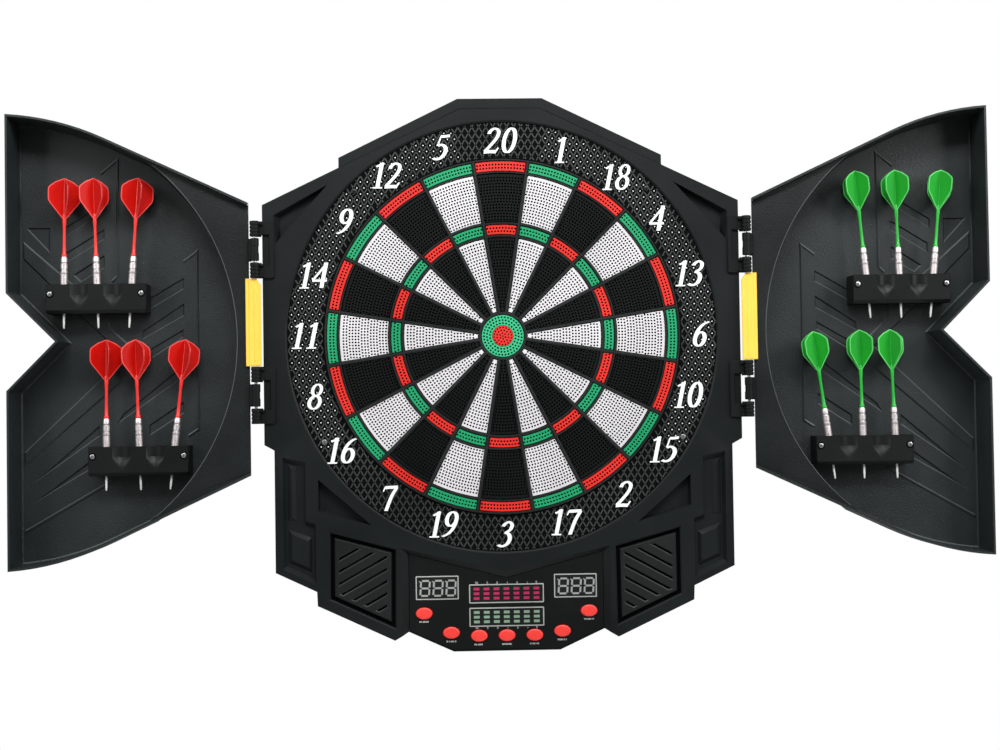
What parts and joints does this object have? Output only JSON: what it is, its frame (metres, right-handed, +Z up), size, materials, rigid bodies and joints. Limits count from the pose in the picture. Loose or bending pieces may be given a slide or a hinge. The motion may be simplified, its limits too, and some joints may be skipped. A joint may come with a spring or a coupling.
{
  "type": "dart board cabinet",
  "caption": "Wall-hung electronic soft-tip dart board with a scoring console and two folding doors that hold the darts.",
  "frame": {"origin": "on the wall plane, straight behind the centre of the bull's-eye", "axes": "+X to the right of someone facing the board, +Y into the wall, +Z up; the room is at -Y"},
  "size_m": [0.922, 0.0475, 0.5205],
  "materials": {
    "housing_plastic": "black moulded polystyrene with a fine spark-eroded grain",
    "ring_plastic": "black moulded plastic, satin",
    "mat_rubber": "grey silicone sheet",
    "switch_film": "printed polyester film",
    "fibre_board": "hardboard",
    "console_gloss": "glossy black printed overlay",
    "display_window": "dark display window with grey unlit segments",
    "circuit_board": "green solder mask",
    "speaker_steel": "grey steel basket",
    "inlet_plastic": "black nylon",
    "screw_steel": "bright zinc plate",
    "black_screw_steel": "black zinc plate",
    "pin_steel": "drawn steel wire",
    "hinge_plastic": "black nylon, satin",
    "button_red": "red moulded button, satin gloss",
    "segment_red": "red moulded segment with rows of holes",
    "segment_green": "green moulded segment with rows of holes",
    "segment_black": "black moulded segment with rows of holes",
    "segment_white": "white moulded segment with rows of holes",
    "door_plastic": "black moulded plastic with a leather-like grain inside",
    "strip_yellow": "yellow plastic strip, satin",
    "holder_plastic": "black moulded plastic, satin",
    "dart_red": "red nylon flight and shaft on a nickel-plated knurled barrel, white nylon point",
    "dart_green": "green nylon flight and shaft on a nickel-plated knurled barrel, white nylon point"
  },
  "bodies": {
    "cabinet": {"front_housing": "housing_plastic", "back_cover": "housing_plastic", "catch_ring": "ring_plastic", "spider": "ring_plastic", "rubber_sheet": "mat_rubber", "switch_sheet": "switch_film", "backing_board": "fibre_board", "console_panel": "console_gloss", "score_displays": "display_window", "cricket_displays": "display_window", "control_board": "circuit_board", "speaker": "speaker_steel", "left_grille": "housing_plastic", "right_grille": "housing_plastic", "power_inlet": "inlet_plastic", "housing_screws": "screw_steel", "ring_screws": "black_screw_steel", "left_hinge_leaves": "hinge_plastic", "right_hinge_leaves": "hinge_plastic", "hinge_pins": "pin_steel"},
    "button_1": {"button_1": "button_red"},
    "button_2": {"button_2": "button_red"},
    "button_3": {"button_3": "button_red"},
    "button_4": {"button_4": "button_red"},
    "button_5": {"button_5": "button_red"},
    "button_6": {"button_6": "button_red"},
    "button_7": {"button_7": "button_red"},
    "double_red_segments": {"double_red_segments": "segment_red"},
    "double_green_segments": {"double_green_segments": "segment_green"},
    "triple_red_segments": {"triple_red_segments": "segment_red"},
    "triple_green_segments": {"triple_green_segments": "segment_green"},
    "black_single_segments": {"black_single_segments": "segment_black"},
    "white_single_segments": {"white_single_segments": "segment_white"},
    "outer_bull": {"outer_bull": "segment_green"},
    "inner_bull": {"inner_bull": "segment_red"},
    "left_door": {"left_door": "door_plastic", "left_door_knuckles": "hinge_plastic", "left_edge_strip": "strip_yellow", "upper_left_holder": "holder_plastic", "lower_left_holder": "holder_plastic", "left_holder_screws": "screw_steel"},
    "left_dart_1": {"left_dart_1": "dart_red"},
    "left_dart_2": {"left_dart_2": "dart_red"},
    "left_dart_3": {"left_dart_3": "dart_red"},
    "left_dart_4": {"left_dart_4": "dart_red"},
    "left_dart_5": {"left_dart_5": "dart_red"},
    "left_dart_6": {"left_dart_6": "dart_red"},
    "right_door": {"right_door": "door_plastic", "right_door_knuckles": "hinge_plastic", "right_edge_strip": "strip_yellow", "upper_right_holder": "holder_plastic", "lower_right_holder": "holder_plastic", "right_holder_screws": "screw_steel"},
    "right_dart_1": {"right_dart_1": "dart_green"},
    "right_dart_2": {"right_dart_2": "dart_green"},
    "right_dart_3": {"right_dart_3": "dart_green"},
    "right_dart_4": {"right_dart_4": "dart_green"},
    "right_dart_5": {"right_dart_5": "dart_green"},
    "right_dart_6": {"right_dart_6": "dart_green"}
  },
  "joints": [
    {"name": "left_door_hinge", "type": "hinge", "parent": "cabinet", "child": "left_door", "pos_m": [-0.231, -0.043, 0], "axis": [0, 0, 1], "range_deg": [0, 180]},
    {"name": "right_door_hinge", "type": "hinge", "parent": "cabinet", "child": "right_door", "pos_m": [0.231, -0.043, 0], "axis": [0, 0, -1], "range_deg": [0, 180]},
    {"name": "button_1_press", "type": "slide", "parent": "cabinet", "child": "button_1", "axis": [0, 1, 0], "range_m": [0, 0.001], "stiffness_N_per_m": 400},
    {"name": "button_2_press", "type": "slide", "parent": "cabinet", "child": "button_2", "axis": [0, 1, 0], "range_m": [0, 0.001], "stiffness_N_per_m": 400},
    {"name": "button_3_press", "type": "slide", "parent": "cabinet", "child": "button_3", "axis": [0, 1, 0], "range_m": [0, 0.001], "stiffness_N_per_m": 400},
    {"name": "button_4_press", "type": "slide", "parent": "cabinet", "child": "button_4", "axis": [0, 1, 0], "range_m": [0, 0.001], "stiffness_N_per_m": 400},
    {"name": "button_5_press", "type": "slide", "parent": "cabinet", "child": "button_5", "axis": [0, 1, 0], "range_m": [0, 0.001], "stiffness_N_per_m": 400},
    {"name": "button_6_press", "type": "slide", "parent": "cabinet", "child": "button_6", "axis": [0, 1, 0], "range_m": [0, 0.001], "stiffness_N_per_m": 400},
    {"name": "button_7_press", "type": "slide", "parent": "cabinet", "child": "button_7", "axis": [0, 1, 0], "range_m": [0, 0.001], "stiffness_N_per_m": 400},
    {"name": "double_red_segments_press", "type": "slide", "parent": "cabinet", "child": "double_red_segments", "axis": [0, 1, 0], "range_m": [0, 0.0012], "stiffness_N_per_m": 2000},
    {"name": "double_green_segments_press", "type": "slide", "parent": "cabinet", "child": "double_green_segments", "axis": [0, 1, 0], "range_m": [0, 0.0012], "stiffness_N_per_m": 2000},
    {"name": "triple_red_segments_press", "type": "slide", "parent": "cabinet", "child": "triple_red_segments", "axis": [0, 1, 0], "range_m": [0, 0.0012], "stiffness_N_per_m": 2000},
    {"name": "triple_green_segments_press", "type": "slide", "parent": "cabinet", "child": "triple_green_segments", "axis": [0, 1, 0], "range_m": [0, 0.0012], "stiffness_N_per_m": 2000},
    {"name": "black_single_segments_press", "type": "slide", "parent": "cabinet", "child": "black_single_segments", "axis": [0, 1, 0], "range_m": [0, 0.0012], "stiffness_N_per_m": 2000},
    {"name": "white_single_segments_press", "type": "slide", "parent": "cabinet", "child": "white_single_segments", "axis": [0, 1, 0], "range_m": [0, 0.0012], "stiffness_N_per_m": 2000},
    {"name": "outer_bull_press", "type": "slide", "parent": "cabinet", "child": "outer_bull", "axis": [0, 1, 0], "range_m": [0, 0.0012], "stiffness_N_per_m": 2000},
    {"name": "inner_bull_press", "type": "slide", "parent": "cabinet", "child": "inner_bull", "axis": [0, 1, 0], "range_m": [0, 0.0012], "stiffness_N_per_m": 2000},
    {"name": "left_dart_1_lift", "type": "slide", "parent": "left_door", "child": "left_dart_1", "axis": [0.0122, 0, 0.9999], "range_m": [0, 0.025]},
    {"name": "left_dart_2_lift", "type": "slide", "parent": "left_door", "child": "left_dart_2", "axis": [-0.0262, 0, 0.9997], "range_m": [0, 0.025]},
    {"name": "left_dart_3_lift", "type": "slide", "parent": "left_door", "child": "left_dart_3", "axis": [0.068, 0, 0.9977], "range_m": [0, 0.013]},
    {"name": "left_dart_4_lift", "type": "slide", "parent": "left_door", "child": "left_dart_4", "axis": [0.0087, 0, 1], "range_m": [0, 0.009]},
    {"name": "left_dart_5_lift", "type": "slide", "parent": "left_door", "child": "left_dart_5", "axis": [-0.0297, 0, 0.9996], "range_m": [0, 0.009]},
    {"name": "left_dart_6_lift", "type": "slide", "parent": "left_door", "child": "left_dart_6", "axis": [0.1097, 0, 0.994], "range_m": [0, 0.009]},
    {"name": "right_dart_1_lift", "type": "slide", "parent": "right_door", "child": "right_dart_1", "axis": [-0.0889, 0, 0.996], "range_m": [0, 0.013]},
    {"name": "right_dart_2_lift", "type": "slide", "parent": "right_door", "child": "right_dart_2", "axis": [-0.0279, 0, 0.9996], "range_m": [0, 0.025]},
    {"name": "right_dart_3_lift", "type": "slide", "parent": "right_door", "child": "right_dart_3", "axis": [0.0941, 0, 0.9956], "range_m": [0, 0.025]},
    {"name": "right_dart_4_lift", "type": "slide", "parent": "right_door", "child": "right_dart_4", "axis": [-0.1323, 0, 0.9912], "range_m": [0, 0.009]},
    {"name": "right_dart_5_lift", "type": "slide", "parent": "right_door", "child": "right_dart_5", "axis": [-0.0157, 0, 0.9999], "range_m": [0, 0.009]},
    {"name": "right_dart_6_lift", "type": "slide", "parent": "right_door", "child": "right_dart_6", "axis": [-0.0314, 0, 0.9995], "range_m": [0, 0.009]}
  ]
}
